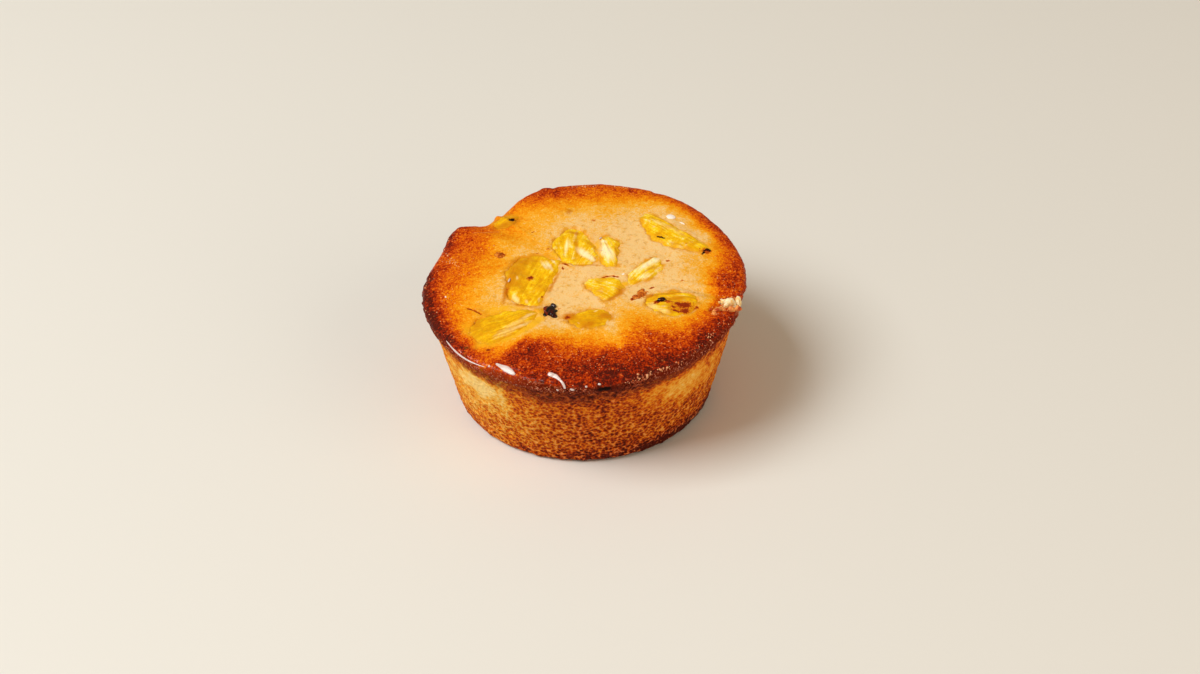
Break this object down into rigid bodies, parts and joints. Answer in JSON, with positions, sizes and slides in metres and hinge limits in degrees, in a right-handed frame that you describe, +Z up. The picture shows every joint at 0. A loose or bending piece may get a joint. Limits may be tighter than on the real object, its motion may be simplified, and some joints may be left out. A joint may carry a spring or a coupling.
{
  "type": "pineapple tart",
  "caption": "Small round baked tart with a tapered porous cake, a dark browned lip round its rim, and pineapple wedges sunk in its top.",
  "frame": {"origin": "centre of the bounding box's base, on the surface that the tart stands on", "axes": "+Z up, out of the tart's top; +X to the right and +Y away from the viewer as the picture shows the tart"},
  "size_m": [0.0856, 0.0859, 0.0389],
  "materials": {
    "baked_crumb": "baked cake crumb, dry and porous on the side, browned and thinly glazed on top",
    "pineapple_flesh": "wet fibrous fruit flesh, browned where it stands proud"
  },
  "bodies": {
    "root": {"tart_body": "baked_crumb", "pineapple_1": "pineapple_flesh", "pineapple_2": "pineapple_flesh", "pineapple_3": "pineapple_flesh", "pineapple_4": "pineapple_flesh", "pineapple_5": "pineapple_flesh", "pineapple_6": "pineapple_flesh", "pineapple_7": "pineapple_flesh", "pineapple_8": "pineapple_flesh", "pineapple_9": "pineapple_flesh", "pineapple_10": "pineapple_flesh"}
  },
  "joints": []
}
